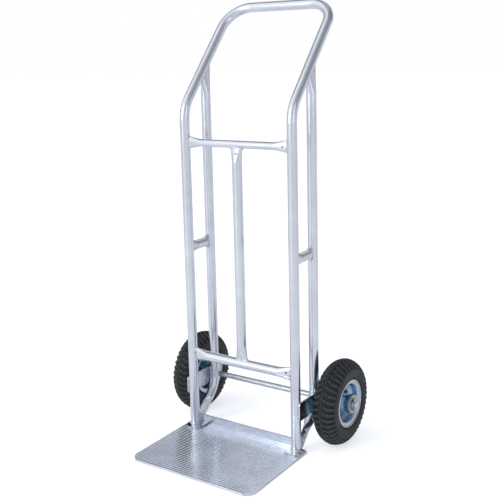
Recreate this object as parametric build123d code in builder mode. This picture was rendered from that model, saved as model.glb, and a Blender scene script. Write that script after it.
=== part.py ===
from build123d import *

import math
import os

# Welded aluminium hand truck on two pneumatic wheels, in millimetres.
# +X is across the truck, -Y is the side the toe plate points to, +Z is up.
# The origin is on the floor, at the middle of the footprint.

# Overall
overall_height = 1122.5
footprint_depth = 472.0
clearance = 0.1

# Tubes
tube_r = 12.5
tube_wall = 2.0
slim_tube_r = 9.5
slim_tube_wall = 1.8
squash_t = 11.0
squash_w = 36.0
slim_squash_w = 31.0
flare_length = 34.0
vent_hole_r = 2.4

# Frame layout
upright_x = 158.5
upright_y = 6.0
knee_z = 859.5
knee_bend_r = 85.0
corner_bend_r = 68.0
handle_y = footprint_depth / 2 - tube_r
handle_z = overall_height - tube_r
upper_bar_z = 772.0
lower_bar_z = 208.0
spacer_z = 498.0
rear_y = upright_y + 93.0
rear_bend_z = 90.0
rear_bend_r = 60.0
rear_bend_top_z = 120.0
rear_foot_y = 32.5
rear_foot_t = 6.0
rear_foot_w = 36.0
rear_foot_flat_l = 26.0
rear_foot_flare_l = 25.0
rear_rivet_in = 9.5
rear_flare_start_z = 895.0
rear_flare_end_z = 950.0
rear_top_z = 985.0
rear_top_w = 40.0

# Toe plate
toe_half_width = 180.0
toe_front_y = -footprint_depth / 2
toe_base_t = 7.0
rib_h = 1.0
rib_w = 3.8
rib_pitch = 7.3
toe_nose_r = 3.2
toe_corner_r = 28.0
upstand_y = 16.0
upstand_t = 4.5
upstand_top_z = 33.0
upstand_half_width = 147.0
toe_top_z = toe_base_t + rib_h

# Foot brackets
flange_t = 3.5
flange_w = 44.0
flange_front_y = -24.5
flange_corner_r = 14.0
flange_middle_x = {"left": -149.5, "right": 157.5}
flange_rivets_xy = ((2.0, -17.5), (17.0, 3.5))
lug_t = 5.0
lug_back_y = 52.0
lug_top_z = 38.0
lug_bottom_z = 1.0
rivet_r = 2.0
rivet_head_r = 3.3
rivet_head_h = 1.4
foot_top_z = toe_top_z + flange_t

# Axle
axle_r = 7.5
axle_y = upright_y + 118.0
axle_z = 110.0
axle_half_length = 266.0
axle_plate_t = 4.0
axle_plate_z = (92.5, 139.5)
axle_plate_y = (upright_y - 9.0, axle_y + 21.0)
axle_plate_corner_r = 9.0
axle_plate_in_x = upright_x + tube_r
pin_r = 1.5
pin_x = 261.9
washer_r = 10.5
washer_t = 2.0
bush_r = 11.0

# Wheels
wheel_x = 221.5
tyre_r = axle_z
tyre_half_w = 31.0
tyre_mid_r = 80.0
tyre_cavity_r = 22.8
inner_tube_r = 22.4
inner_tube_wall = 1.6
bead_r = 50.2
rim_r = 50.0
rim_half_w = 22.6
rim_flange_r = 59.5
rim_t = 1.8
rim_lip_r = 2.2
hub_r = 24.0
hub_wall = 2.2
hub_half_l = 34.5
cup_flange_t = 1.5
cup_mouth_r = 15.5
ball_r = 3.175
ball_count = 12
ball_pitch_r = 15.5
ball_x = 29.5
cone_r = 12.0
cone_in_x = 23.0
face_x = hub_half_l + cup_flange_t
window_pitch_r = 35.5
window_w = 16.0
window_arc = 38.0
window_count = 4
bolt_pitch_r = 33.0
bolt_r = 3.0
bolt_hex_r = 5.6
bolt_head_h = 4.0
valve_r = 3.6
valve_base_r = 5.2
valve_angle = 100.0
valve_start = (53.5, -2.5)
valve_end = (36.5, 13.5)
valve_cap_l = 9.0

os.makedirs("parts", exist_ok=True)

SIDES = {"left": -1, "right": 1}
axle_axis = Axis((0, axle_y, axle_z), (1, 0, 0))
upright_axes = [(side * upright_x, upright_y, 0) for side in SIDES.values()]
leg_direction = Vector(0, handle_y - upright_y, handle_z - knee_z).normalized()


def save(piece, node):
    """Labels a finished piece and writes it as its own STEP file."""
    piece.part.label = node
    export_step(piece.part, f"parts/{node}.step")


def tube_section(radius, wall):
    """A round tube's ring, in the current sketch."""
    Circle(radius)
    Circle(radius - wall, mode=Mode.SUBTRACT)


def flare(start, end, radius, width, thickness, x_dir, wall):
    """One tube end that changes from round to a squashed oval, hollow all along.
    start and end are the planes' origins, and x_dir is the oval's wide direction."""
    z_dir = Vector(end) - Vector(start)
    for shrink, mode in ((0.0, Mode.ADD), (wall, Mode.SUBTRACT)):
        with BuildSketch(Plane(origin=start, x_dir=x_dir, z_dir=z_dir)) as round_end:
            Ellipse(radius - shrink, radius - shrink)
        with BuildSketch(Plane(origin=end, x_dir=x_dir, z_dir=z_dir)) as oval_end:
            Ellipse(width / 2 - shrink, thickness / 2 - shrink)
        loft([round_end.sketch, oval_end.sketch], mode=mode)


def straight_tube(a, b, radius, wall):
    """A straight length of tube from point a to point b."""
    with BuildSketch(Plane(origin=a, z_dir=Vector(b) - Vector(a))) as section:
        tube_section(radius, wall)
    extrude(section.sketch, amount=(Vector(b) - Vector(a)).length)


def cut_rod(point, direction, radius, length):
    """Takes a round rod, centred on a point, out of the current piece."""
    with BuildSketch(Plane(origin=point, z_dir=direction)) as section:
        Circle(radius)
    extrude(section.sketch, amount=length / 2, both=True, mode=Mode.SUBTRACT)


# Main tube: upright, knee, leg, handle bar, leg, knee, upright, in one length
with BuildPart() as main_tube:
    with BuildLine() as loop_path:
        FilletPolyline(
            (-upright_x, upright_y, foot_top_z),
            (-upright_x, upright_y, knee_z),
            (-upright_x, handle_y, handle_z),
            (upright_x, handle_y, handle_z),
            (upright_x, upright_y, knee_z),
            (upright_x, upright_y, foot_top_z),
            radius=[knee_bend_r, corner_bend_r, corner_bend_r, knee_bend_r],
        )
    with BuildSketch(Plane(origin=loop_path.line @ 0, z_dir=loop_path.line % 0)):
        tube_section(tube_r, tube_wall)
    sweep()
save(main_tube, "main_tube")


def crossbar(bar_z, radius, wall, width, hole_at):
    """A bar between the uprights, with squashed ends that are saddle-cut to fit them."""
    mouth_x = upright_x - tube_r - 1.0
    round_x = mouth_x - flare_length
    with BuildPart() as bar:
        straight_tube((-round_x, upright_y, bar_z), (round_x, upright_y, bar_z), radius, wall)
        for side in SIDES.values():
            flare(
                (side * round_x, upright_y, bar_z),
                (side * mouth_x, upright_y, bar_z),
                radius,
                width,
                squash_t,
                (0, 0, 1),
                wall,
            )
            mouth = Plane(origin=(side * mouth_x, upright_y, bar_z), x_dir=(0, 0, 1), z_dir=(side, 0, 0))
            with BuildSketch(mouth):
                Ellipse(width / 2, squash_t / 2)
                Ellipse(width / 2 - wall, squash_t / 2 - wall, mode=Mode.SUBTRACT)
            extrude(amount=tube_r / 2)
            cut_rod((side * upright_x, upright_y, bar_z), (0, 0, 1), tube_r, 2 * width)
        with BuildSketch(Plane.XZ.offset(-upright_y)):
            with Locations((hole_at[0], bar_z + hole_at[1])):
                Circle(vent_hole_r)
        extrude(amount=radius + 1.0, mode=Mode.SUBTRACT)
    return bar


upper_crossbar = crossbar(upper_bar_z, slim_tube_r, slim_tube_wall, slim_squash_w, (135.5, 0.0))
save(upper_crossbar, "upper_crossbar")
lower_crossbar = crossbar(lower_bar_z, tube_r, tube_wall, squash_w, (135.5, 4.0))
save(lower_crossbar, "lower_crossbar")

# Centre tube: stands between the crossbars, squashed across at both ends
centre_ends = ((lower_bar_z, tube_r, 1), (upper_bar_z, slim_tube_r, -1))
with BuildPart() as centre_tube:
    round_zs = [bar_z + up * (bar_r + flare_length) for bar_z, bar_r, up in centre_ends]
    straight_tube((0, upright_y, round_zs[0]), (0, upright_y, round_zs[1]), tube_r, tube_wall)
    for (bar_z, bar_r, up), round_z in zip(centre_ends, round_zs):
        flare(
            (0, upright_y, round_z),
            (0, upright_y, bar_z + up * bar_r * 0.75),
            tube_r,
            squash_w,
            squash_t,
            (1, 0, 0),
            tube_wall,
        )
        cut_rod((0, upright_y, bar_z), (1, 0, 0), bar_r, 2 * squash_w)
    with BuildSketch(Plane.XZ.offset(-upright_y)):
        with Locations((3.0, upper_bar_z - slim_tube_r - 13.0)):
            Circle(vent_hole_r)
    extrude(amount=tube_r + 1.0, mode=Mode.SUBTRACT)
save(centre_tube, "centre_tube")


def rear_tube(side):
    """The straight length of the tube behind one upright, down to the start of its bend."""
    x = side * upright_x
    with BuildPart() as tube:
        straight_tube((x, rear_y, rear_bend_top_z), (x, rear_y, rear_flare_start_z), tube_r, tube_wall)
    return tube


def rear_tube_head(side):
    """The rear tube's top, squashed flat and cut to lie against the slanted leg's underside."""
    x = side * upright_x
    with BuildPart() as head:
        flare(
            (x, rear_y, rear_flare_start_z),
            (x, rear_y, rear_flare_end_z),
            tube_r,
            rear_top_w,
            squash_t,
            (0, 1, 0),
            tube_wall,
        )
        with BuildSketch(Plane(origin=(x, rear_y, rear_flare_end_z), x_dir=(0, 1, 0), z_dir=(0, 0, 1))):
            Ellipse(rear_top_w / 2, squash_t / 2)
            Ellipse(rear_top_w / 2 - tube_wall, squash_t / 2 - tube_wall, mode=Mode.SUBTRACT)
        extrude(amount=rear_top_z - rear_flare_end_z)
        leg_underside = Plane(origin=(x, upright_y, knee_z), z_dir=leg_direction.cross(Vector(1, 0, 0)))
        split(bisect_by=leg_underside, keep=Keep.TOP)
        cut_rod((x, rear_y, rear_z_on_leg), leg_direction, tube_r, 300.0)
    return head


def rear_tube_foot(side):
    """The rear tube's bottom end: a bend forward, then squashed flat for the lug rivet."""
    x = side * upright_x
    foot = rear_foot_point(x, 0.0)
    squash_end = rear_foot_point(x, rear_foot_flat_l)
    round_start = rear_foot_point(x, rear_foot_flat_l + rear_foot_flare_l)
    with BuildPart() as tube:
        with BuildLine() as path:
            FilletPolyline(
                round_start,
                (x, rear_y, rear_bend_z),
                (x, rear_y, rear_bend_top_z),
                radius=rear_bend_r,
            )
        with BuildSketch(Plane(origin=path.line @ 0, z_dir=path.line % 0)):
            tube_section(tube_r, tube_wall)
        sweep()
        flare(
            round_start,
            squash_end,
            tube_r,
            rear_foot_w,
            rear_foot_t,
            (0, -1, 1),
            tube_wall,
        )
        with BuildSketch(Plane(origin=foot, x_dir=(0, -1, 1), z_dir=(0, 1, 1))):
            Ellipse(rear_foot_w / 2, rear_foot_t / 2)
        extrude(amount=rear_foot_flat_l)
        cut_rod(rear_foot_point(x, rear_rivet_in), (1, 0, 0), rivet_r + clearance, 4 * rear_foot_t)
    return tube


def rear_foot_point(x, distance):
    """A point on the cranked foot's middle line, so far up from its end."""
    step = distance / math.sqrt(2)
    return Vector(x, rear_foot_y + step, rear_bend_z - rear_y + rear_foot_y + step)


rear_z_on_leg = knee_z + (rear_y - upright_y) * leg_direction.Z / leg_direction.Y
for name, side in SIDES.items():
    save(rear_tube(side), f"rear_tube_{name}")
    save(rear_tube_head(side), f"rear_tube_head_{name}")
    save(rear_tube_foot(side), f"rear_tube_foot_{name}")

# Side spacers: short squashed-end tubes between each upright and its rear tube
for name, side in SIDES.items():
    mouths = (upright_y + tube_r - 1.5, rear_y - tube_r + 1.5)
    spacer_flare = 16.0
    with BuildPart() as spacer:
        rounds = (mouths[0] + spacer_flare, mouths[1] - spacer_flare)
        x = side * upright_x
        straight_tube((x, rounds[0], spacer_z), (x, rounds[1], spacer_z), tube_r, tube_wall)
        for mouth_y, round_y in zip(mouths, rounds):
            flare(
                (x, round_y, spacer_z),
                (x, mouth_y, spacer_z),
                tube_r,
                squash_w,
                squash_t,
                (0, 0, 1),
                tube_wall,
            )
        for tube_y in (upright_y, rear_y):
            cut_rod((x, tube_y, spacer_z), (0, 0, 1), tube_r, 2 * squash_w)
    save(spacer, f"side_spacer_{name}")

# Axle plates: welded outside the upright and the rear tube on each side
for name, side in SIDES.items():
    with BuildPart() as axle_plate:
        with BuildSketch(Plane(origin=(side * axle_plate_in_x, 0, 0), x_dir=(0, side, 0), z_dir=(side, 0, 0))):
            middle_y = side * sum(axle_plate_y) / 2
            with Locations((middle_y, sum(axle_plate_z) / 2)):
                plate_l = axle_plate_y[1] - axle_plate_y[0]
                plate_h = axle_plate_z[1] - axle_plate_z[0]
                RectangleRounded(plate_l, plate_h, axle_plate_corner_r)
            with Locations((side * axle_y, axle_z)):
                Circle(axle_r + clearance / 2, mode=Mode.SUBTRACT)
        extrude(amount=axle_plate_t)
    save(axle_plate, f"axle_plate_{name}")

# Toe plate: one extrusion across the truck, with fine ribs on top and an upstand at the back
with BuildPart() as toe_plate:
    with BuildSketch(Plane.YZ.offset(-toe_half_width)):
        with BuildLine():
            back_y = upstand_y + upstand_t
            Polyline(
                (back_y, 0),
                (back_y, upstand_top_z),
                (upstand_y, upstand_top_z),
                (upstand_y, toe_base_t),
                (toe_front_y, toe_base_t),
                (toe_front_y, 0),
                (back_y, 0),
            )
        make_face()
        nose = vertices().group_by(Axis.X)[0]
        fillet(nose, radius=toe_nose_r)
        rib_count = int((upstand_y - toe_front_y - 2 * rib_pitch) / rib_pitch)
        for i in range(rib_count):
            with Locations((toe_front_y + rib_pitch * (i + 1.2), toe_base_t)):
                Ellipse(rib_w / 2, rib_h)
    extrude(amount=2 * toe_half_width)
    with BuildSketch(Plane.XY) as toe_outline:
        with Locations((0, (toe_front_y + back_y) / 2)):
            Rectangle(2 * toe_half_width, back_y - toe_front_y)
        fillet(toe_outline.vertices().group_by(Axis.Y)[0], radius=toe_corner_r)
    extrude(amount=upstand_top_z, mode=Mode.INTERSECT)
    with BuildSketch(Plane.XZ):
        for side in SIDES.values():
            with Locations((side * (upstand_half_width + 50), (toe_base_t + upstand_top_z) / 2 + rib_h)):
                Rectangle(100, upstand_top_z - toe_base_t + 2 * rib_h)
    extrude(amount=-2 * back_y, mode=Mode.SUBTRACT)
    with BuildSketch(Plane.XY):
        for name in SIDES:
            for rivet_x, rivet_y in flange_rivets_xy:
                with Locations((flange_middle_x[name] + rivet_x, rivet_y)):
                    Circle(rivet_r + clearance)
    extrude(amount=upstand_top_z, mode=Mode.SUBTRACT)
save(toe_plate, "toe_plate")

# Foot brackets: a flange on the toe plate under each upright's foot, and a lug behind it.
# Both are the same part, so the lug lies on the same side of each rear tube.
for name, side in SIDES.items():
    lug_face_x = side * upright_x - rear_foot_t / 2
    with BuildPart() as foot_bracket:
        with BuildSketch(Plane.XY.offset(toe_top_z)):
            flange_back_y = upstand_y - clearance
            with Locations((flange_middle_x[name], (flange_front_y + flange_back_y) / 2)):
                Rectangle(flange_w, flange_back_y - flange_front_y)
            fillet(vertices().group_by(Axis.Y)[0], radius=flange_corner_r)
            for rivet_x, rivet_y in flange_rivets_xy:
                with Locations((flange_middle_x[name] + rivet_x, rivet_y)):
                    Circle(rivet_r + clearance, mode=Mode.SUBTRACT)
        extrude(amount=flange_t)
        with BuildSketch(Plane.YZ.offset(lug_face_x - lug_t)):
            with BuildLine():
                behind_y = upstand_y + upstand_t + 0.5
                Polyline(
                    (upstand_y - 6.0, toe_top_z),
                    (behind_y, toe_top_z),
                    (behind_y, lug_bottom_z),
                    (lug_back_y - 8.0, lug_bottom_z),
                    (lug_back_y, lug_bottom_z + 8.0),
                    (lug_back_y, lug_top_z / 2),
                    (lug_back_y - 8.0, lug_top_z),
                    (behind_y + 5.0, lug_top_z),
                    (behind_y - 1.5, lug_top_z - 8.0),
                    (behind_y - 1.5, foot_top_z),
                    (upstand_y - 6.0, foot_top_z),
                    (upstand_y - 6.0, toe_top_z),
                )
            make_face()
        extrude(amount=lug_t)
        rivet_at = rear_foot_point(lug_face_x, rear_rivet_in)
        cut_rod(rivet_at, (1, 0, 0), rivet_r + clearance, 4 * lug_t)
    save(foot_bracket, f"foot_bracket_{name}")


def rivet(plane, grip):
    """A rivet with a domed head at each end. The plane is the outer face that its head sits on."""
    with BuildSketch(plane) as shank:
        Circle(rivet_r)
    extrude(shank.sketch, amount=-grip)
    for face, out in ((plane, 1), (plane.offset(-grip), -1)):
        with BuildSketch(face) as head:
            Circle(rivet_head_r)
        extrude(head.sketch, amount=out * rivet_head_h, taper=25)


with BuildPart() as flange_rivets:
    for name in SIDES:
        for rivet_x, rivet_y in flange_rivets_xy:
            top = Plane(origin=(flange_middle_x[name] + rivet_x, rivet_y, foot_top_z))
            with BuildSketch(top):
                Circle(rivet_r)
            extrude(amount=-(foot_top_z - 0.5))
            with BuildSketch(top):
                Circle(rivet_head_r)
            extrude(amount=rivet_head_h, taper=25)
save(flange_rivets, "flange_rivets")

with BuildPart() as lug_rivets:
    for side in SIDES.values():
        tube_face = rear_foot_point(side * upright_x + rear_foot_t / 2, rear_rivet_in)
        rivet(Plane(origin=tube_face, z_dir=(1, 0, 0)), rear_foot_t + lug_t)
save(lug_rivets, "lug_rivets")

# Axle: one bar right through both plates and both wheels
with BuildPart() as axle:
    with BuildSketch(Plane.YZ.offset(-axle_half_length)):
        with Locations((axle_y, axle_z)):
            Circle(axle_r)
    extrude(amount=2 * axle_half_length)
    chamfer(edges().filter_by(GeomType.CIRCLE), length=1.0)
    for side in SIDES.values():
        cut_rod((side * pin_x, axle_y, axle_z), (0, 0, 1), pin_r + clearance, 4 * axle_r)
save(axle, "axle")


def ring(inner_x, outer_x, inner_r, outer_r):
    """A washer, bush or race on the axle, from inner_x to outer_x on both sides of the truck."""
    for side in SIDES.values():
        with BuildSketch(Plane(origin=(side * inner_x, axle_y, axle_z), z_dir=(side, 0, 0))) as section:
            Circle(outer_r)
            Circle(inner_r, mode=Mode.SUBTRACT)
        extrude(section.sketch, amount=outer_x - inner_x)


with BuildPart() as axle_spacers:
    ring(axle_plate_in_x + axle_plate_t, wheel_x - face_x, axle_r, bush_r)
save(axle_spacers, "axle_spacers")

with BuildPart() as axle_washers:
    ring(wheel_x + face_x, wheel_x + face_x + washer_t, axle_r, washer_r)
save(axle_washers, "axle_washers")

with BuildPart() as bearing_cones:
    ring(wheel_x + cone_in_x, wheel_x + face_x, axle_r, cone_r)
    ring(wheel_x - face_x, wheel_x - cone_in_x, axle_r, cone_r)
save(bearing_cones, "bearing_cones")

# Split pins: a round eye above the axle, a shank through it, and two legs turned out below
with BuildPart() as split_pins:
    for side in SIDES.values():
        with BuildSketch(Plane(origin=(side * pin_x, axle_y, axle_z - axle_r - 2.0))):
            Circle(pin_r)
        extrude(amount=2 * axle_r + 4.0)
        for lean in (-1, 1):
            leg_start = (side * pin_x, axle_y, axle_z - axle_r - 1.5)
            with BuildSketch(Plane(origin=leg_start, z_dir=(0, lean, -0.7))):
                Circle(pin_r * 0.8)
            extrude(amount=7.0)
        with Locations(Plane(origin=(side * pin_x, axle_y, axle_z + axle_r + 4.4), z_dir=(1, 0, 0))):
            Torus(2.8, pin_r * 0.85)
save(split_pins, "split_pins")


def wheel_section(side):
    """The plane of a wheel's section: local x is the radius and local y points outboard."""
    return Plane(origin=(side * wheel_x, axle_y, axle_z), x_dir=(0, 0, 1), z_dir=(0, side, 0))


def wheel_face(side, out):
    """A plane square to the axle at a distance outboard of the wheel's middle."""
    return Plane(origin=(side * (wheel_x + out), axle_y, axle_z), x_dir=(0, side, 0), z_dir=(side, 0, 0))


def make_tyre(side):
    """Tyre: rounded section on two beads, hollow inside for the inner tube."""
    with BuildPart() as tyre:
        with BuildSketch(wheel_section(side)):
            with BuildLine():
                lip = (rim_flange_r + 4.0, rim_half_w + 3.9)
                shoulder = (98.0, 25.5)
                for half in (1, -1):
                    Polyline(
                        (bead_r, 0),
                        (bead_r, half * (rim_half_w - 4.0)),
                        (bead_r + 3.8, half * (rim_half_w + 0.3)),
                        (rim_flange_r - 2.0, half * (rim_half_w + 0.9)),
                        (rim_flange_r + 3.0, half * (rim_half_w + 1.0)),
                        (lip[0], half * lip[1]),
                    )
                    ThreePointArc(
                        (lip[0], half * lip[1]),
                        (tyre_mid_r, half * tyre_half_w),
                        (shoulder[0], half * shoulder[1]),
                    )
                    ThreePointArc(
                        (shoulder[0], half * shoulder[1]),
                        (tyre_r - 3.4, half * 14.0),
                        (tyre_r, 0),
                    )
            make_face()
            with Locations((tyre_mid_r, 0)):
                Circle(tyre_cavity_r, mode=Mode.SUBTRACT)
            with Locations((bead_r, 0)):
                Rectangle(2 * (tyre_mid_r - bead_r - tyre_cavity_r + 8.0), 24.0, mode=Mode.SUBTRACT)
        revolve(axis=axle_axis)
    return tyre


def make_inner_tube(side):
    """Inner tube: a thin ring inside the tyre."""
    with BuildPart() as tube:
        with BuildSketch(wheel_section(side)):
            with Locations((tyre_mid_r, 0)):
                tube_section(inner_tube_r, inner_tube_wall)
        revolve(axis=axle_axis)
    return tube


def make_rim_half(side, half):
    """One pressed half of the split rim: a disc with windows, a bead seat and a rolled flange."""
    with BuildPart() as rim:
        with BuildSketch(wheel_section(side)):
            with BuildLine():
                FilletPolyline(
                    (hub_r + clearance, 0),
                    (42.5, 0),
                    (rim_r, half * 8.0),
                    (rim_r, half * rim_half_w),
                    (rim_flange_r, half * (rim_half_w + 2.2)),
                    radius=[3.0, 3.5, 3.5],
                )
                offset(amount=rim_t, side=Side.LEFT if half > 0 else Side.RIGHT)
            make_face()
            with Locations((rim_flange_r - 0.1, half * (rim_half_w + 2.7 + rim_t / 2))):
                Circle(rim_lip_r)
        revolve(axis=axle_axis)
        with BuildSketch(wheel_face(side, 0)):
            for i in range(window_count):
                turn = i * 360 / window_count - window_arc / 2
                SlotArc(CenterArc((0, 0), window_pitch_r, turn, window_arc), window_w)
        extrude(amount=5 * rim_t, both=True, mode=Mode.SUBTRACT)
        with BuildSketch(wheel_face(side, 0)):
            with PolarLocations(bolt_pitch_r, window_count, start_angle=180 / window_count):
                Circle(bolt_r + clearance)
        extrude(amount=2 * rim_t, both=True, mode=Mode.SUBTRACT)
        if half > 0:
            axis_start, axis_end = valve_points(side)
            with BuildSketch(Plane(origin=axis_start, z_dir=axis_end - axis_start)):
                Circle(valve_base_r + 0.2)
            extrude(amount=18.0, mode=Mode.SUBTRACT)
    return rim


def valve_points(side):
    """The valve stem's two ends, from the tube through the outer rim half towards the hub."""
    turn = math.radians(valve_angle)
    radial = Vector(0, side * math.cos(turn), math.sin(turn))
    centre = Vector(side * wheel_x, axle_y, axle_z)
    out = Vector(side, 0, 0)
    return [centre + radial * r + out * x for r, x in (valve_start, valve_end)]


def make_valve_stem(side):
    """Valve stem: a thick rubber-covered base and a slimmer metal end."""
    start, end = valve_points(side)
    way = (end - start).normalized()
    with BuildPart() as stem:
        with BuildSketch(Plane(origin=start, z_dir=way)):
            Circle(valve_base_r)
        extrude(amount=15.0)
        with BuildSketch(Plane(origin=start, z_dir=way)):
            Circle(valve_r)
        extrude(amount=(end - start).length)
    return stem


def make_valve_cap(side):
    """Valve cap: pushed over the stem's end."""
    start, end = valve_points(side)
    way = (end - start).normalized()
    with BuildPart() as cap:
        with BuildSketch(Plane(origin=end, z_dir=way)):
            Circle(valve_r + 0.8)
        extrude(amount=valve_cap_l, taper=4)
        fillet(faces().sort_by(Axis(end, way))[-1].edges(), radius=1.2)
    return cap


def make_hub(side):
    """Hub: a tube that the rim halves are welded to and the cups are pressed into."""
    with BuildPart() as hub:
        with BuildSketch(wheel_face(side, -hub_half_l)):
            tube_section(hub_r, hub_wall)
        extrude(amount=2 * hub_half_l)
    return hub


def make_cups(side):
    """Bearing cups: a flanged race in each end of the hub."""
    with BuildPart() as cups:
        with BuildSketch(wheel_section(side)):
            skirt_r = hub_r - hub_wall - clearance
            for half in (1, -1):
                with Locations(((cup_mouth_r + hub_r) / 2, half * (hub_half_l + cup_flange_t / 2))):
                    Rectangle(hub_r - cup_mouth_r, cup_flange_t)
                race_r = ball_pitch_r + ball_r + clearance
                with Locations(((skirt_r + race_r) / 2, half * (hub_half_l + cone_in_x) / 2)):
                    Rectangle(skirt_r - race_r, hub_half_l - cone_in_x)
        revolve(axis=axle_axis)
    return cups


def make_balls(side):
    """Bearing balls: a row at each end of the hub."""
    with BuildPart() as balls:
        for half in (1, -1):
            with Locations(wheel_face(side, half * ball_x)):
                with PolarLocations(ball_pitch_r, ball_count):
                    Sphere(ball_r)
    return balls


def make_bolts(side):
    """Rim bolts: hexagon heads on the outboard face of the discs, shanks through both."""
    with BuildPart() as bolts:
        with BuildSketch(wheel_face(side, rim_t)):
            with PolarLocations(bolt_pitch_r, window_count, start_angle=180 / window_count):
                RegularPolygon(bolt_hex_r, 6)
        extrude(amount=bolt_head_h)
        with BuildSketch(wheel_face(side, rim_t)):
            with PolarLocations(bolt_pitch_r, window_count, start_angle=180 / window_count):
                Circle(bolt_r)
        extrude(amount=-(2 * rim_t + bolt_head_h + 4.0))
    return bolts


def make_nuts(side):
    """Rim nuts: on the inboard face of the discs."""
    with BuildPart() as nuts:
        with BuildSketch(wheel_face(side, -rim_t)):
            with PolarLocations(bolt_pitch_r, window_count, start_angle=180 / window_count):
                RegularPolygon(bolt_hex_r, 6)
                Circle(bolt_r, mode=Mode.SUBTRACT)
        extrude(amount=-bolt_head_h - 1.0)
    return nuts


for name, side in SIDES.items():
    save(make_tyre(side), f"tyre_{name}")
    save(make_inner_tube(side), f"inner_tube_{name}")
    save(make_rim_half(side, 1), f"rim_outer_{name}")
    save(make_rim_half(side, -1), f"rim_inner_{name}")
    save(make_hub(side), f"hub_{name}")
    save(make_cups(side), f"bearing_cups_{name}")
    save(make_balls(side), f"bearing_balls_{name}")
    save(make_bolts(side), f"rim_bolts_{name}")
    save(make_nuts(side), f"rim_nuts_{name}")
    save(make_valve_stem(side), f"valve_stem_{name}")
    save(make_valve_cap(side), f"valve_cap_{name}")
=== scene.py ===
import math

import bmesh
import bpy
from mathutils import Matrix, Vector, noise


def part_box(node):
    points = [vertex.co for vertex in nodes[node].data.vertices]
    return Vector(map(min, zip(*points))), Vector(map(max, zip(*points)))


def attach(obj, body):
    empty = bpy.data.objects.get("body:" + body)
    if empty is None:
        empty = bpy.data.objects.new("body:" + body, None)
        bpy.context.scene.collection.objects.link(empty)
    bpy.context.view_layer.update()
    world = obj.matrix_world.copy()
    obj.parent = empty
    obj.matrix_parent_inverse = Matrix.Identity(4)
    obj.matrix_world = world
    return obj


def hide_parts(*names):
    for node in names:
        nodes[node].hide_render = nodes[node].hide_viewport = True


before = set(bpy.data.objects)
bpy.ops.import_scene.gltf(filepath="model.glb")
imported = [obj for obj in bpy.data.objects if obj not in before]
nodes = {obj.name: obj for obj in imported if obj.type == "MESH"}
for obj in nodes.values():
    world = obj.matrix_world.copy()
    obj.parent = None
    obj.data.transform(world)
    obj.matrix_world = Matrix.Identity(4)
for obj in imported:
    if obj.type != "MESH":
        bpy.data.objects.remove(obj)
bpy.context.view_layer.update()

MM = 0.001
SIDES = {"left": -1, "right": 1}


# ---------------------------------------------------------------- shader helpers


def new_material(name):
    """An empty Principled material, its node tree and its shader."""
    material = bpy.data.materials.new(name)
    material.use_nodes = True
    tree = material.node_tree
    shader = next(n for n in tree.nodes if n.type == "BSDF_PRINCIPLED")
    return material, tree, shader


def object_noise(tree, scale, stretch=(1, 1, 1), detail=4.0, roughness=0.55, distortion=0.0):
    """A noise field in object space, drawn out along the axes with a small stretch."""
    coord = tree.nodes.new("ShaderNodeTexCoord")
    mapping = tree.nodes.new("ShaderNodeMapping")
    mapping.inputs["Scale"].default_value = stretch
    field = tree.nodes.new("ShaderNodeTexNoise")
    field.inputs["Scale"].default_value = scale
    field.inputs["Detail"].default_value = detail
    field.inputs["Roughness"].default_value = roughness
    field.inputs["Distortion"].default_value = distortion
    tree.links.new(coord.outputs["Object"], mapping.inputs["Vector"])
    tree.links.new(mapping.outputs["Vector"], field.inputs["Vector"])
    return field.outputs["Fac"]


def ramp(tree, value, stops):
    """Colours placed along a 0 to 1 value."""
    node = tree.nodes.new("ShaderNodeValToRGB")
    elements = node.color_ramp.elements
    while len(elements) < len(stops):
        elements.new(0.5)
    for element, (at, colour) in zip(elements, stops):
        element.position = at
        element.color = (*colour, 1.0)
    tree.links.new(value, node.inputs["Fac"])
    return node.outputs["Color"]


def spread(tree, value, low, high, from_low=0.3, from_high=0.7):
    """Maps a noise value onto a range."""
    node = tree.nodes.new("ShaderNodeMapRange")
    node.inputs["From Min"].default_value = from_low
    node.inputs["From Max"].default_value = from_high
    node.inputs["To Min"].default_value = low
    node.inputs["To Max"].default_value = high
    tree.links.new(value, node.inputs["Value"])
    return node.outputs["Result"]


def blend_colour(tree, factor, a, b):
    """Mixes two colours or colour sockets by a factor socket."""
    node = tree.nodes.new("ShaderNodeMix")
    node.data_type = "RGBA"
    tree.links.new(factor, node.inputs[0])
    for socket, value in ((node.inputs[6], a), (node.inputs[7], b)):
        if isinstance(value, tuple):
            socket.default_value = (*value, 1.0)
        else:
            tree.links.new(value, socket)
    return node.outputs[2]


def bump(tree, shader, heights):
    """Chains bump nodes for (height socket, strength, distance)."""
    last = None
    for height, strength, distance in heights:
        node = tree.nodes.new("ShaderNodeBump")
        node.inputs["Strength"].default_value = strength
        node.inputs["Distance"].default_value = distance
        tree.links.new(height, node.inputs["Height"])
        if last is not None:
            tree.links.new(last, node.inputs["Normal"])
        last = node.outputs["Normal"]
    tree.links.new(last, shader.inputs["Normal"])


def radius_mask(tree, low, high):
    """0 at the middle of a round piece and 1 at its rim, by its own box, across the X axis."""
    coord = tree.nodes.new("ShaderNodeTexCoord")
    shift = tree.nodes.new("ShaderNodeVectorMath")
    shift.operation = "SUBTRACT"
    shift.inputs[1].default_value = (0.0, 0.5, 0.5)
    flat = tree.nodes.new("ShaderNodeVectorMath")
    flat.operation = "MULTIPLY"
    flat.inputs[1].default_value = (0.0, 2.0, 2.0)
    length = tree.nodes.new("ShaderNodeVectorMath")
    length.operation = "LENGTH"
    tree.links.new(coord.outputs["Generated"], shift.inputs[0])
    tree.links.new(shift.outputs["Vector"], flat.inputs[0])
    tree.links.new(flat.outputs["Vector"], length.inputs[0])
    return spread(tree, length.outputs["Value"], 0.0, 1.0, low, high)


# ---------------------------------------------------------------- materials


TUBE_COLOUR = (0.83, 0.87, 0.94)
TUBE_ROUGH = (0.13, 0.21)


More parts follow.
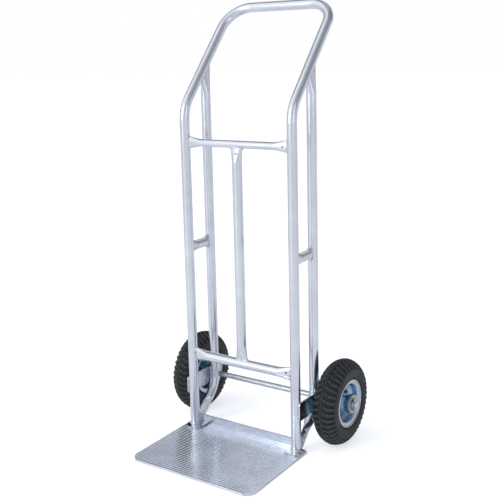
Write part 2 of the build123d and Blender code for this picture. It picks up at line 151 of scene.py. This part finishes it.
def tube_metal(name, along):
    """Drawn aluminium tube: fine die lines along its length, faint haze, rare dull specks."""
    material, tree, shader = new_material(name)
    stretch = tuple(0.02 if axis == along else 1.0 for axis in "xyz")
    lines = object_noise(tree, 900.0, stretch, detail=3.0)
    haze = object_noise(tree, 16.0, detail=5.0)
    specks = object_noise(tree, 420.0, detail=2.0)
    dull = tuple(c * 0.88 for c in TUBE_COLOUR)
    tone = blend_colour(tree, spread(tree, haze, 0.0, 1.0), TUBE_COLOUR, dull)
    black, white = (0.0, 0.0, 0.0), (1.0, 1.0, 1.0)
    pit = ramp(tree, specks, ((0.0, black), (0.70, black), (0.78, white)))
    tone = blend_colour(tree, pit, tone, tuple(c * 0.7 for c in TUBE_COLOUR))
    tree.links.new(tone, shader.inputs["Base Color"])
    shader.inputs["Metallic"].default_value = 1.0
    mixed = tree.nodes.new("ShaderNodeMath")
    mixed.operation = "MULTIPLY_ADD"
    tree.links.new(lines, mixed.inputs[0])
    mixed.inputs[1].default_value = 0.12
    tree.links.new(spread(tree, haze, *TUBE_ROUGH), mixed.inputs[2])
    tree.links.new(mixed.outputs[0], shader.inputs["Roughness"])
    bump(tree, shader, ((lines, 0.05, 0.0004), (haze, 0.04, 0.004)))
    return material


UPSTAND_LINE_PITCH = 0.0042


def plate_metal(name, along, colour, rough, lined=False):
    """Mill-finish sheet or extrusion: rolling lines, soft blotches, rubbed patches.
    lined adds the shallow extruded lines that show on the toe plate's upstand."""
    material, tree, shader = new_material(name)
    stretch = tuple(0.015 if axis == along else 1.0 for axis in "xyz")
    lines = object_noise(tree, 700.0, stretch, detail=3.0)
    blotch = object_noise(tree, 9.0, detail=6.0, roughness=0.65)
    rubs = object_noise(tree, 60.0, (1.0, 0.12, 1.0), detail=6.0, roughness=0.7, distortion=1.2)
    dull = tuple(c * 0.80 for c in colour)
    tone = blend_colour(tree, spread(tree, blotch, 0.0, 1.0), colour, dull)
    rubbed = tuple(c * 0.72 for c in colour)
    tone = blend_colour(tree, spread(tree, rubs, 0.0, 0.22, 0.55, 0.75), tone, rubbed)
    tree.links.new(tone, shader.inputs["Base Color"])
    shader.inputs["Metallic"].default_value = 1.0
    mixed = tree.nodes.new("ShaderNodeMath")
    mixed.operation = "MULTIPLY_ADD"
    tree.links.new(lines, mixed.inputs[0])
    mixed.inputs[1].default_value = 0.06
    tree.links.new(spread(tree, blotch, rough[0], rough[1]), mixed.inputs[2])
    tree.links.new(mixed.outputs[0], shader.inputs["Roughness"])
    heights = [(lines, 0.03, 0.0004)]
    if lined:
        coord = tree.nodes.new("ShaderNodeTexCoord")
        split = tree.nodes.new("ShaderNodeSeparateXYZ")
        tree.links.new(coord.outputs["Object"], split.inputs["Vector"])
        wave = tree.nodes.new("ShaderNodeMath")
        wave.operation = "SINE"
        scaled = tree.nodes.new("ShaderNodeMath")
        scaled.operation = "MULTIPLY"
        tree.links.new(split.outputs["Z"], scaled.inputs[0])
        scaled.inputs[1].default_value = 2 * math.pi / UPSTAND_LINE_PITCH
        tree.links.new(scaled.outputs[0], wave.inputs[0])
        heights.append((wave.outputs[0], 0.15, 0.0003))
    bump(tree, shader, heights)
    return material


WORN_AND_LIT_BAND = (0.80, 0.88)


def plated_steel(name, colour, rough=(0.22, 0.36), tint=None, worn_and_lit_edge=None):
    """Zinc-plated steel: fine crystalline mottle, cloudy passivation tint and slight pitting.
    The edge colour is that of a round piece's outer edge: on the outer rim half a barer grey of
    worn zinc, on the inner rim half painted light where its flange is lit, against the painted
    shade of the rest."""
    material, tree, shader = new_material(name)
    grain = object_noise(tree, 600.0, detail=3.0)
    cloud = object_noise(tree, 70.0, detail=5.0, roughness=0.6, distortion=0.6)
    shade = tint or tuple(c * 0.78 for c in colour)
    tone = blend_colour(tree, spread(tree, cloud, 0.0, 1.0, 0.38, 0.66), colour, shade)
    pitted = tuple(c * 0.6 for c in colour)
    tone = blend_colour(tree, spread(tree, grain, 0.0, 0.3, 0.45, 0.7), tone, pitted)
    # Outer-edge band: worn zinc on the outer rim half, painted light on the lit flange of the inner
    # half
    if worn_and_lit_edge:
        tone = blend_colour(tree, radius_mask(tree, *WORN_AND_LIT_BAND), tone, worn_and_lit_edge)
    tree.links.new(tone, shader.inputs["Base Color"])
    shader.inputs["Metallic"].default_value = 1.0
    tree.links.new(spread(tree, cloud, rough[0], rough[1]), shader.inputs["Roughness"])
    bump(tree, shader, ((grain, 0.08, 0.0003), (cloud, 0.05, 0.001)))
    return material


def rubber(name, colour, rough=(0.42, 0.62), grain_scale=1400.0, dusty=0.35):
    """Moulded rubber: fine mould grain, and a faint scuffed bloom of pale dust in random patches.
    """
    material, tree, shader = new_material(name)
    grain = object_noise(tree, grain_scale, detail=2.0)
    bloom = object_noise(tree, 34.0, detail=6.0, roughness=0.62)
    pale = tuple(c * 2.1 + 0.004 for c in colour)
    tone = blend_colour(tree, spread(tree, bloom, 0.0, dusty, 0.4, 0.75), colour, pale)
    tree.links.new(tone, shader.inputs["Base Color"])
    shader.inputs["Specular IOR Level"].default_value = 0.5
    tree.links.new(spread(tree, bloom, rough[0], rough[1]), shader.inputs["Roughness"])
    bump(tree, shader, ((grain, 0.18, 0.0004), (bloom, 0.05, 0.002)))
    return material


def weld_metal(name):
    """Aluminium weld: frosted and bright, with grey and dark smoke patches."""
    material, tree, shader = new_material(name)
    smoke = object_noise(tree, 160.0, detail=5.0, roughness=0.7)
    grit = object_noise(tree, 900.0, detail=3.0)
    tone = ramp(
        tree,
        smoke,
        ((0.36, (0.07, 0.07, 0.08)), (0.44, (0.50, 0.51, 0.55)), (0.56, (0.90, 0.92, 0.96))),
    )
    tree.links.new(tone, shader.inputs["Base Color"])
    shader.inputs["Metallic"].default_value = 1.0
    tree.links.new(spread(tree, smoke, 0.28, 0.55), shader.inputs["Roughness"])
    bump(tree, shader, ((grit, 0.35, 0.0004),))
    return material


tube_z = tube_metal("tube_drawn_z", "z")
tube_x = tube_metal("tube_drawn_x", "x")
tube_y = tube_metal("tube_drawn_y", "y")
plate_y = plate_metal("plate_mill_y", "y", (0.70, 0.74, 0.80), (0.10, 0.18))
toe_metal = plate_metal("toe_extrusion", "x", (0.80, 0.85, 0.94), (0.11, 0.17), lined=True)
zinc_bright = plated_steel("zinc_bright", (0.74, 0.77, 0.81))
zinc_rim = plated_steel(
    "zinc_rim",
    (0.50, 0.65, 0.79),
    rough=(0.16, 0.28),
    tint=(0.38, 0.53, 0.70),
    worn_and_lit_edge=(0.60, 0.64, 0.69),
)
# The inner rim half is the same plated steel as the outer half, given a darker colour: painted
# shade over the half that sits behind the tyre, away from the light.
zinc_inner_painted_shade = plated_steel(
    "zinc_inner_painted_shade",
    (0.24, 0.40, 0.47),
    rough=(0.24, 0.38),
    tint=(0.13, 0.25, 0.31),
    worn_and_lit_edge=(0.58, 0.72, 0.82),
)
zinc_hub = plated_steel(
    "zinc_hub", (0.64, 0.80, 0.93), rough=(0.18, 0.30), tint=(0.50, 0.68, 0.85)
)
race_steel = plated_steel("race_passivated", (0.52, 0.54, 0.49), tint=(0.38, 0.41, 0.36))
tyre_rubber = rubber("tyre_rubber", (0.0105, 0.0125, 0.0145), rough=(0.42, 0.60))
# Lug tops get a lighter rubber than the grooves and sidewalls: partly scuffed wear, partly painted
# light on the tops that face the light.
tread_tops_worn_and_painted_light = rubber("tread_tops_worn_and_painted_light", (0.030, 0.035, 0.041), rough=(0.38, 0.55), dusty=0.5)
soft_rubber = rubber("soft_rubber", (0.012, 0.012, 0.013), grain_scale=2200.0)
weld_bead = weld_metal("weld_bead")

looks = {
    "main_tube": tube_z,
    "upper_crossbar": tube_x,
    "lower_crossbar": tube_x,
    "centre_tube": tube_z,
    "toe_plate": toe_metal,
    "flange_rivets": zinc_bright,
    "lug_rivets": zinc_bright,
    "axle": zinc_bright,
    "axle_spacers": zinc_bright,
    "axle_washers": zinc_bright,
    "split_pins": zinc_bright,
    "bearing_cones": race_steel,
}
for name in SIDES:
    looks.update(
        {
            f"rear_tube_{name}": tube_z,
            f"rear_tube_head_{name}": tube_z,
            f"rear_tube_foot_{name}": tube_z,
            f"side_spacer_{name}": tube_y,
            f"axle_plate_{name}": plate_y,
            f"foot_bracket_{name}": plate_y,
            f"inner_tube_{name}": soft_rubber,
            f"tyre_{name}": tyre_rubber,
            f"rim_outer_{name}": zinc_rim,
            f"rim_inner_{name}": zinc_inner_painted_shade,
            f"hub_{name}": zinc_hub,
            f"bearing_cups_{name}": race_steel,
            f"bearing_balls_{name}": race_steel,
            f"rim_bolts_{name}": zinc_bright,
            f"rim_nuts_{name}": zinc_bright,
            f"valve_stem_{name}": soft_rubber,
            f"valve_cap_{name}": soft_rubber,
        }
    )


def dress(obj, material):
    """Gives every material slot of an object one material."""
    if not obj.material_slots:
        obj.data.materials.append(material)
    for slot in obj.material_slots:
        slot.material = material


for name, material in looks.items():
    dress(nodes[name], material)


# ---------------------------------------------------------------- mesh helpers


def mesh_piece(name, verts, faces, material, body):
    """A new smooth-shaded piece from points in metres, riding on a body."""
    mesh = bpy.data.meshes.new(name)
    mesh.from_pydata([tuple(v) for v in verts], [], faces)
    mesh.validate()
    work = bmesh.new()
    work.from_mesh(mesh)
    bmesh.ops.recalc_face_normals(work, faces=work.faces)
    for face in work.faces:
        face.smooth = True
    work.to_mesh(mesh)
    work.free()
    obj = bpy.data.objects.new(name, mesh)
    bpy.context.scene.collection.objects.link(obj)
    obj.data.materials.append(material)
    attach(obj, body)
    return obj


def smoothstep(low, high, value):
    """0 below low, 1 above high, smooth between."""
    t = min(1.0, max(0.0, (value - low) / (high - low)))
    return t * t * (3 - 2 * t)


# ---------------------------------------------------------------- tyres

LUGS = 42
STEPS_PER_LUG = 16
TREAD_DEPTH = 5.2
TREAD_EDGE = 35.5
CROWN_R = 110.0
SHOULDER = (25.5, 98.0)
SIDEWALL_FOOT = (26.6, 63.9)
TREAD_FROM_R = 86.0
LUG_TOP_FROM_R = 92.0
SIDE_RING_R = 69.0
SIDE_RING_OUT = 0.35
CAVITY_R = 22.8
CAVITY_AT_R = 80.0


def arc_points(a, b, through, count):
    """Points on the circle through three points, from a to b."""
    ax, ay = a
    bx, by = b
    cx, cy = through
    d = 2 * (ax * (by - cy) + bx * (cy - ay) + cx * (ay - by))
    a2, b2, c2 = ax**2 + ay**2, bx**2 + by**2, cx**2 + cy**2
    ux = (a2 * (by - cy) + b2 * (cy - ay) + c2 * (ay - by)) / d
    uy = (a2 * (cx - bx) + b2 * (ax - cx) + c2 * (bx - ax)) / d
    start = math.atan2(ay - uy, ax - ux)
    end = math.atan2(by - uy, bx - ux)
    while end - start > math.pi:
        end -= 2 * math.pi
    while end - start < -math.pi:
        end += 2 * math.pi
    radius = math.hypot(ax - ux, ay - uy)
    return [
        (
            ux + radius * math.cos(start + (end - start) * i / count),
            uy + radius * math.sin(start + (end - start) * i / count),
        )
        for i in range(count + 1)
    ]


def half_profile():
    """Half of the tyre's outside, from the crown to the bead: (across, radius) in millimetres."""
    crown = arc_points((0.0, CROWN_R), SHOULDER, (14.0, 106.6), 24)
    wall = arc_points(SHOULDER, SIDEWALL_FOOT, (30.9, 80.0), 20)
    rolled = [
        (24.9, 62.9),
        (23.5, 62.2),
        (23.3, 59.0),
        (22.7, 54.4),
        (20.5, 51.2),
        (17.0, 50.3),
        (12.2, 50.3),
    ]
    return crown + wall[1:] + rolled


def tread_height(turn, across, radius, side_phase):
    """How far the tread's surface lies below the lug tops at a place, from 0 to 1."""
    distance = abs(across) if radius >= SHOULDER[1] else SHOULDER[0] + SHOULDER[1] - radius
    edge = 1.0 - smoothstep(TREAD_EDGE - 3.5, TREAD_EDGE, distance)
    rib = 1.0 - smoothstep(1.3, 2.2, distance)
    phase = turn * LUGS / (2 * math.pi) + side_phase - 0.030 * min(distance, 16.0)
    along = phase - math.floor(phase)
    wide = 0.48 + 0.05 * smoothstep(8.0, 20.0, distance)
    lug = smoothstep(0.0, 0.08, along) * (1.0 - smoothstep(wide, wide + 0.08, along))
    lug *= smoothstep(3.0, 4.2, distance)
    groove = smoothstep(12.2, 13.2, distance) * (1.0 - smoothstep(14.6, 15.6, distance))
    raised = 0.20 * lug * smoothstep(28.0, 31.0, distance)
    return edge * (1.0 - raised - max(rib, lug * (1.0 - 0.30 * groove)))


def make_tyre(name, side):
    """A tyre with a centre rib, two rows of slanted lugs, and ringed sidewalls."""
    low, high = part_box(f"tyre_{name}")
    centre = [(a + b) / 2 for a, b in zip(low, high)]
    half = half_profile()
    outline = [(-a, r) for a, r in reversed(half)] + half[1:]
    count = len(outline)
    inner = [
        (
            CAVITY_R * math.sin(math.radians(degrees)),
            CAVITY_AT_R + CAVITY_R * math.cos(math.radians(degrees)),
        )
        for degrees in range(148, -149, -16)
    ]
    around = LUGS * STEPS_PER_LUG
    verts = []
    faces = []
    sinks = []
    normals = []
    for i, (a, r) in enumerate(outline):
        before = outline[max(0, i - 1)]
        after = outline[min(count - 1, i + 1)]
        way = Vector((after[0] - before[0], after[1] - before[1])).normalized()
        normals.append((-way.y, way.x))
    section = count + len(inner)
    for k in range(around):
        turn = 2 * math.pi * k / around
        c, s = math.cos(turn), math.sin(turn)
        for (a, r), (na, nr) in zip(outline, normals):
            phase = 0.0 if a * side > 0 else 0.5
            sink = 0.0
            if r > TREAD_FROM_R:
                sink = TREAD_DEPTH * tread_height(turn, a, r, phase)
            elif abs(a) > 26.0 and abs(r - SIDE_RING_R) < 1.0:
                sink = -SIDE_RING_OUT
            sinks.append(sink if r > LUG_TOP_FROM_R else TREAD_DEPTH)
            a2 = a - na * sink
            r2 = r - nr * sink
            verts.append((centre[0] + a2 * MM, centre[1] + r2 * c * MM, centre[2] + r2 * s * MM))
        for a, r in inner:
            sinks.append(TREAD_DEPTH)
            verts.append((centre[0] + a * MM, centre[1] + r * c * MM, centre[2] + r * s * MM))
    for k in range(around):
        here = k * section
        there = ((k + 1) % around) * section
        for i in range(section):
            j = (i + 1) % section
            faces.append((here + i, here + j, there + j, there + i))
    obj = mesh_piece(
        f"tread_tyre_{name}", verts, faces, tyre_rubber, f"wheel_{name}"
    )
    obj.data.materials.append(tread_tops_worn_and_painted_light)
    # Faces near the lug tops take the lighter rubber: worn tops with painted light on them
    for face in obj.data.polygons:
        if max(sinks[v] for v in face.vertices) < 0.25 * TREAD_DEPTH:
            face.material_index = 1
    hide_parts(f"tyre_{name}")


for name, side in SIDES.items():
    make_tyre(name, side)


# ---------------------------------------------------------------- welds


BEAD_PITCH = 1.9
BEAD_STEP = 0.45
BEAD_SIDES = 10
SEAM_POINTS = 48


def bead(name, path, radius, seed, closed=True):
    """A weld bead along a path in millimetres: overlapping ripples, a little uneven."""
    dense = []
    total = len(path)
    spans = total if closed else total - 1
    for i in range(spans):
        a = Vector(path[i])
        b = Vector(path[(i + 1) % total])
        steps = max(1, int((b - a).length / BEAD_STEP))
        dense += [a.lerp(b, k / steps) for k in range(steps)]
    if not closed:
        dense.append(Vector(path[-1]))
    verts = []
    faces = []
    travelled = 0.0
    count = len(dense)
    normal = None
    for i, point in enumerate(dense):
        before = dense[i - 1] if closed or i else point
        after = dense[(i + 1) % count] if closed or i < count - 1 else point
        way = (after - before).normalized()
        if normal is None:
            normal = way.orthogonal().normalized()
        normal = (normal - way * normal.dot(way)).normalized()
        binormal = way.cross(normal)
        travelled += (point - dense[i - 1]).length if i else 0.0
        ripple = 0.5 + 0.5 * math.cos(2 * math.pi * travelled / BEAD_PITCH)
        wobble = noise.noise(point * 0.12 + Vector((seed, 0, 0)))
        size = radius * (0.86 + 0.14 * ripple**0.5 + 0.14 * wobble)
        if not closed:
            size *= smoothstep(-0.5, 2.0, min(i, count - 1 - i) * BEAD_STEP)
        for k in range(BEAD_SIDES):
            angle = 2 * math.pi * k / BEAD_SIDES
            outward = normal * math.cos(angle) + binormal * math.sin(angle)
            verts.append((point + outward * size) * MM)
    for i in range(count if closed else count - 1):
        here = i * BEAD_SIDES
        there = ((i + 1) % count) * BEAD_SIDES
        for k in range(BEAD_SIDES):
            j = (k + 1) % BEAD_SIDES
            faces.append((here + k, here + j, there + j, there + k))
    if not closed:
        faces.append(tuple(range(BEAD_SIDES)))
        faces.append(tuple(range((count - 1) * BEAD_SIDES, count * BEAD_SIDES)))
    mesh_piece(f"weld_{name}", verts, faces, weld_bead, "frame")


def mm_box(node):
    """A node's box in millimetres."""
    low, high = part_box(node)
    return [c * 1000 for c in low], [c * 1000 for c in high]


tube_r = 12.5
slim_tube_r = 9.5
squash_t = 11.0
squash_w = 36.0
slim_squash_w = 31.0
knee_z = 859.5
tube_low, tube_high = mm_box("main_tube")
upright_x = tube_high[0] - tube_r
upright_y = tube_low[1] + tube_r
rear_y = mm_box("rear_tube_right")[1][1] - tube_r


SEAM_OUT = 0.3


def saddle(centre, tube_axis, toward, wide, width, radius):
    """The seam where an oval tube end meets a round tube: a closed loop of points.
    wide is the oval's long direction and toward points from the round tube to the oval one."""
    centre, tube_axis, toward, wide = (Vector(v) for v in (centre, tube_axis, toward, wide))
    thin = toward.cross(wide)
    points = []
    for i in range(SEAM_POINTS):
        angle = 2 * math.pi * i / SEAM_POINTS
        offset = wide * (width / 2 * math.cos(angle)) + thin * (squash_t / 2 * math.sin(angle))
        off_axis = (offset - tube_axis * offset.dot(tube_axis)).length
        reach = math.sqrt(max(0.0, (radius + SEAM_OUT) ** 2 - off_axis**2))
        points.append(centre + offset + toward * reach)
    return points


def node_middle(node, axis):
    """The middle of a node's box along one axis, in millimetres."""
    low, high = mm_box(node)
    return (low[axis] + high[axis]) / 2


upper_z = node_middle("upper_crossbar", 2)
lower_z = node_middle("lower_crossbar", 2)
spacer_z = node_middle("side_spacer_right", 2)
PLATE_SEAM_REACH = 4.2
for name, side in SIDES.items():
    x = side * upright_x
    for bar, z, width in (("upper", upper_z, slim_squash_w), ("lower", lower_z, squash_w)):
        seam = saddle((x, upright_y, z), (0, 0, 1), (-side, 0, 0), (0, 0, 1), width, tube_r)
        bead(f"{bar}_crossbar_{name}", seam, 2.1, seed=side + z)
    for end, y, way in (("front", upright_y, 1), ("back", rear_y, -1)):
        seam = saddle((x, y, spacer_z), (0, 0, 1), (0, way, 0), (0, 0, 1), squash_w, tube_r)
        bead(f"side_spacer_{end}_{name}", seam, 2.1, seed=side + y)
    foot_seam = [
        (
            x + (tube_r + 0.4) * math.cos(2 * math.pi * i / SEAM_POINTS),
            upright_y + (tube_r + 0.4) * math.sin(2 * math.pi * i / SEAM_POINTS),
            tube_low[2] + 0.5,
        )
        for i in range(SEAM_POINTS)
    ]
    bead(f"foot_{name}", foot_seam, 2.5, seed=side * 3)
    plate_low, plate_high = mm_box(f"axle_plate_{name}")
    plate_in = plate_low[0] if side > 0 else plate_high[0]
    for tube, y in (("upright", upright_y), ("rear_tube", rear_y)):
        for edge, way in (("front", -1), ("back", 1)):
            line_x = plate_in - side * (tube_r - math.sqrt(tube_r**2 - PLATE_SEAM_REACH**2))
            line = [
                (line_x + side * 0.2, y + way * (PLATE_SEAM_REACH + 0.6), z)
                for z in (plate_low[2] + 3, plate_high[2] - 3)
            ]
            bead(f"axle_plate_{tube}_{edge}_{name}", line, 1.8, closed=False, seed=side + y + way)

for end, z, way, radius in (("upper", upper_z, -1, slim_tube_r), ("lower", lower_z, 1, tube_r)):
    seam = saddle((0, upright_y, z), (1, 0, 0), (0, 0, way), (1, 0, 0), squash_w, radius)
    bead(f"centre_tube_{end}", seam, 2.0, seed=z)

# The rear tubes' squashed heads against the undersides of the legs
HEAD_HALF_W = 20.2
HEAD_HALF_T = 5.7
leg = Vector((0, tube_high[1] - tube_r - upright_y, tube_high[2] - tube_r - knee_z)).normalized()
for name, side in SIDES.items():
    seam = []
    for i in range(SEAM_POINTS):
        angle = 2 * math.pi * i / SEAM_POINTS
        across = HEAD_HALF_T * math.sin(angle)
        y = rear_y + HEAD_HALF_W * math.cos(angle)
        below = math.sqrt((tube_r + SEAM_OUT) ** 2 - across**2)
        z = knee_z + ((y - upright_y) * leg.z - below) / leg.y
        seam.append((side * upright_x + across, y, z))
    bead(f"rear_tube_{name}", seam, 2.1, seed=side * 5)


# ---------------------------------------------------------------- stage


FLOOR_HALF = 40.0
FLOOR_GLOW_REFLECTED = 0.15
FLOOR_GLOW_SEEN = 0.62


def make_floor():
    """A wide pale floor with a fine matt paper grain. It glows less to reflections than to the
    camera, so that the upright tubes, which mirror it, aren't washed out."""
    mesh = bpy.data.meshes.new("floor")
    corners = [
        (-FLOOR_HALF, -FLOOR_HALF, 0),
        (FLOOR_HALF, -FLOOR_HALF, 0),
        (FLOOR_HALF, FLOOR_HALF, 0),
        (-FLOOR_HALF, FLOOR_HALF, 0),
    ]
    mesh.from_pydata(corners, [], [(0, 1, 2, 3)])
    floor = bpy.data.objects.new("floor", mesh)
    bpy.context.scene.collection.objects.link(floor)
    material, tree, shader = new_material("floor_paper")
    grain = object_noise(tree, 90.0, detail=3.0)
    paper = blend_colour(tree, grain, (0.92, 0.92, 0.93), (0.94, 0.94, 0.95))
    tree.links.new(paper, shader.inputs["Base Color"])
    shader.inputs["Roughness"].default_value = 0.85
    shader.inputs["Emission Color"].default_value = (0.95, 0.97, 1.0, 1.0)
    path = tree.nodes.new("ShaderNodeLightPath")
    glow = spread(
        tree, path.outputs["Is Camera Ray"], FLOOR_GLOW_REFLECTED, FLOOR_GLOW_SEEN, 0.0, 1.0
    )
    tree.links.new(glow, shader.inputs["Emission Strength"])
    floor.data.materials.append(material)


make_floor()


def area_light(name, place, target, size, power, colour):
    """A soft box that faces a target."""
    data = bpy.data.lights.new(name, "AREA")
    data.shape = "RECTANGLE"
    data.size, data.size_y = size
    data.energy = power
    data.color = colour
    light = bpy.data.objects.new(name, data)
    light.location = place
    light.rotation_euler = (Vector(target) - Vector(place)).to_track_quat("-Z", "Y").to_euler()
    bpy.context.scene.collection.objects.link(light)


area_light("key_left", (-1.3, -3.4, 1.9), (0, 0, 0.6), (0.8, 2.4), 30.0, (1.0, 0.99, 0.98))
area_light("fill_right", (3.4, -1.2, 1.7), (0, 0, 0.5), (0.7, 2.2), 6.0, (0.94, 0.96, 1.0))

world = bpy.data.worlds.new("studio")
bpy.context.scene.world = world
world.use_nodes = True
tree = world.node_tree
tree.nodes.clear()


def maths(operation, a, b=None):
    """A maths node on sockets or numbers."""
    node = tree.nodes.new("ShaderNodeMath")
    node.operation = operation
    for socket, value in zip(node.inputs, (a, b)):
        if isinstance(value, (int, float)):
            socket.default_value = value
        elif value is not None:
            tree.links.new(value, socket)
    return node.outputs[0]


STUDIO_TINT = (0.95, 0.97, 1.0)


def greys(stops):
    """Ramp stops from (bearing, brightness), a little cooler where they are darker. Bearings are in
    degrees from +X towards +Y, so -90 is the side the toe plate points to."""
    red, green, blue = STUDIO_TINT
    placed = []
    for degrees, value in stops:
        cool = 1.0 - 0.10 * (1.0 - value)
        grey = (value * red * cool, value * green * cool, value * blue)
        placed.append(((degrees + 180.0) / 360.0, grey))
    return placed


coord = tree.nodes.new("ShaderNodeTexCoord")
split = tree.nodes.new("ShaderNodeSeparateXYZ")
tree.links.new(coord.outputs["Generated"], split.inputs["Vector"])
bearing = maths("ARCTAN2", split.outputs["Y"], split.outputs["X"])
turn = maths("ADD", maths("DIVIDE", bearing, 2 * math.pi), 0.5)
# Around the studio at eye level: white in front on the left, grey on the right, dark flags behind
# and at the left, and a white panel between them
walls = ramp(
    tree,
    turn,
    greys(
        (
            (-180, 0.52),
            (-166, 0.80),
            (-140, 0.98),
            (-100, 0.92),
            (-70, 0.74),
            (-50, 0.68),
            (-28, 0.76),
            (0, 0.64),
            (30, 0.60),
            (50, 0.74),
            (70, 0.70),
            (84, 0.28),
            (94, 0.34),
            (110, 0.95),
            (142, 0.95),
            (153, 0.50),
            (165, 0.32),
            (180, 0.52),
        )
    ),
)
# Overhead: a large soft box in front on the left, and a dim ceiling elsewhere
overhead = ramp(
    tree,
    turn,
    greys(
        (
            (-180, 0.72),
            (-167, 1.04),
            (-100, 0.96),
            (-55, 0.58),
            (0, 0.36),
            (50, 0.24),
            (95, 0.50),
            (112, 0.64),
            (124, 0.45),
            (136, 0.34),
            (150, 0.22),
            (166, 0.28),
            (180, 0.72),
        )
    ),
)
WALL_TOP = (0.10, 0.42)
height = spread(tree, split.outputs["Z"], 0.0, 1.0, *WALL_TOP)
banded = blend_colour(tree, height, walls, overhead)
path = tree.nodes.new("ShaderNodeLightPath")
seen = blend_colour(tree, path.outputs["Is Camera Ray"], banded, (1.0, 1.0, 1.0))
background = tree.nodes.new("ShaderNodeBackground")
tree.links.new(seen, background.inputs["Color"])
background.inputs["Strength"].default_value = 1.0
output = tree.nodes.new("ShaderNodeOutputWorld")
tree.links.new(background.outputs["Background"], output.inputs["Surface"])

scene = bpy.context.scene
scene.view_settings.view_transform = "Standard"
scene.view_settings.look = "None"
scene.view_settings.exposure = 0.0

# ---------------------------------------------------------------- camera

AZIMUTH = math.radians(33.96)
PITCH = math.radians(10.34)
ROLL = math.radians(-1.34)
FOCAL_PX = 840.0
PICTURE_PX = 500.0
SENSOR_MM = 36.0
SHIFT_Y = -0.08
CAMERA_AT = (1.1700, -1.6787, 0.9822)
camera_data = bpy.data.cameras.new("camera")
camera_data.sensor_width = SENSOR_MM
camera_data.sensor_fit = "HORIZONTAL"
camera_data.lens = FOCAL_PX * SENSOR_MM / PICTURE_PX
camera_data.shift_y = SHIFT_Y
camera_data.clip_end = 100.0
camera = bpy.data.objects.new("camera", camera_data)
look = Vector((-math.sin(AZIMUTH), math.cos(AZIMUTH), 0))
right = Vector((math.cos(AZIMUTH), math.sin(AZIMUTH), 0))
up = Vector((0, 0, 1))
ahead = look * math.cos(PITCH) - up * math.sin(PITCH)
over = up * math.cos(PITCH) + look * math.sin(PITCH)
axis_x = right * math.cos(ROLL) + over * math.sin(ROLL)
axis_y = over * math.cos(ROLL) - right * math.sin(ROLL)
placed = Matrix((axis_x, axis_y, -ahead)).transposed().to_4x4()
placed.translation = Vector(CAMERA_AT)
camera.matrix_world = placed
scene.collection.objects.link(camera)
scene.camera = camera
